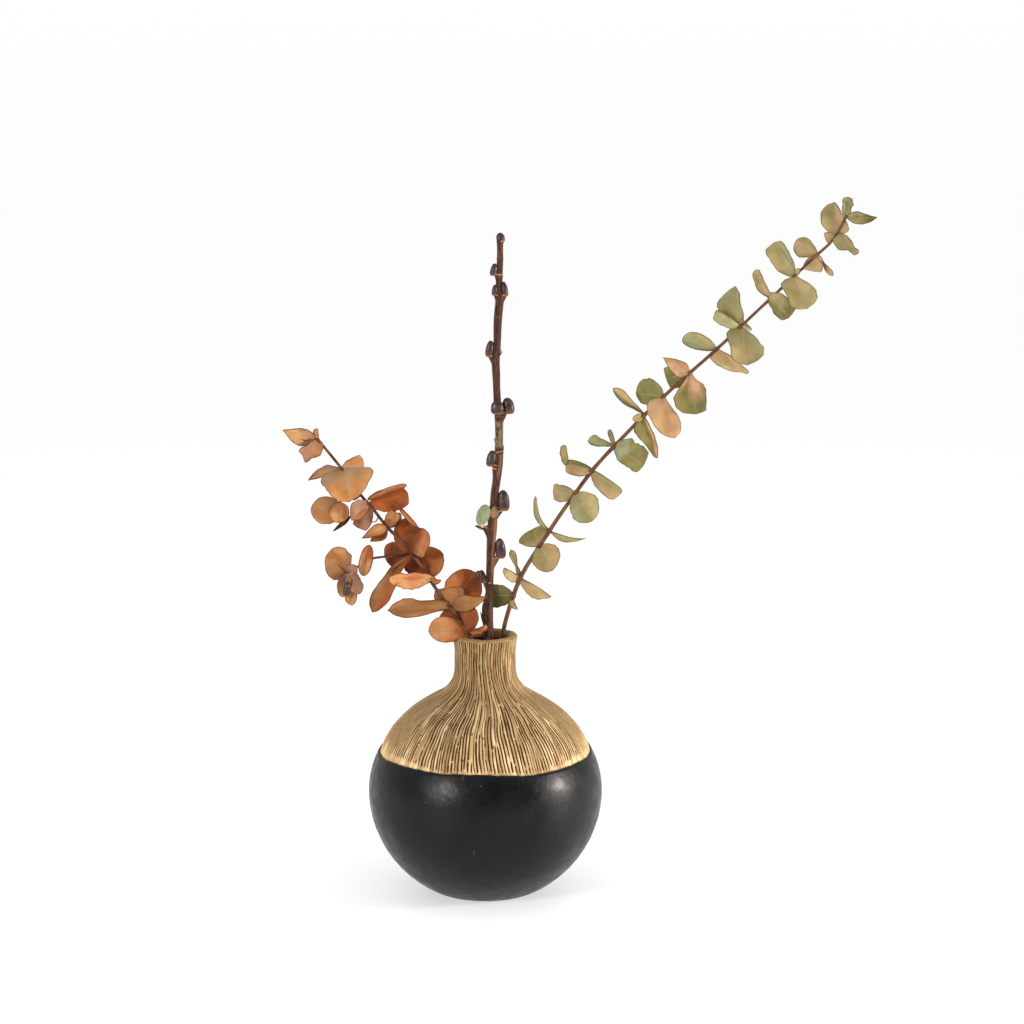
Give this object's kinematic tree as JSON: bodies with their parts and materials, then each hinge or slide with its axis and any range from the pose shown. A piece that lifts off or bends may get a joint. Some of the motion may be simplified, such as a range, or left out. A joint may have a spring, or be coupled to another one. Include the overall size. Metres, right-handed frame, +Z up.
{
  "type": "ikebana arrangement",
  "caption": "Sparse arrangement of dried stems, a leafy rust spray, a bare budded branch and a long green spray, standing in a round carved vase with a narrow neck.",
  "frame": {"origin": "centre of the vase's flat foot, on the surface it stands on", "axes": "+Z up along the vase's axis, -Y towards the front, the rust spray leans to -X and the green spray to +X"},
  "size_m": [0.4419, 0.1794, 0.5341],
  "materials": {
    "vase": "satin black over terracotta below, straw-gold and brown in the carved grooves above",
    "rust_eucalyptus": "dry matt leaf, rust to tan, with paler backs and dark edges",
    "budded_branch": "satin brown bark with ring scars and glossy dark buds",
    "green_eucalyptus": "dry matt leaf, sage green to khaki and tan"
  },
  "bodies": {
    "root": {"vase": "vase", "rust_eucalyptus": "rust_eucalyptus", "budded_branch": "budded_branch", "green_eucalyptus": "green_eucalyptus"}
  },
  "joints": []
}
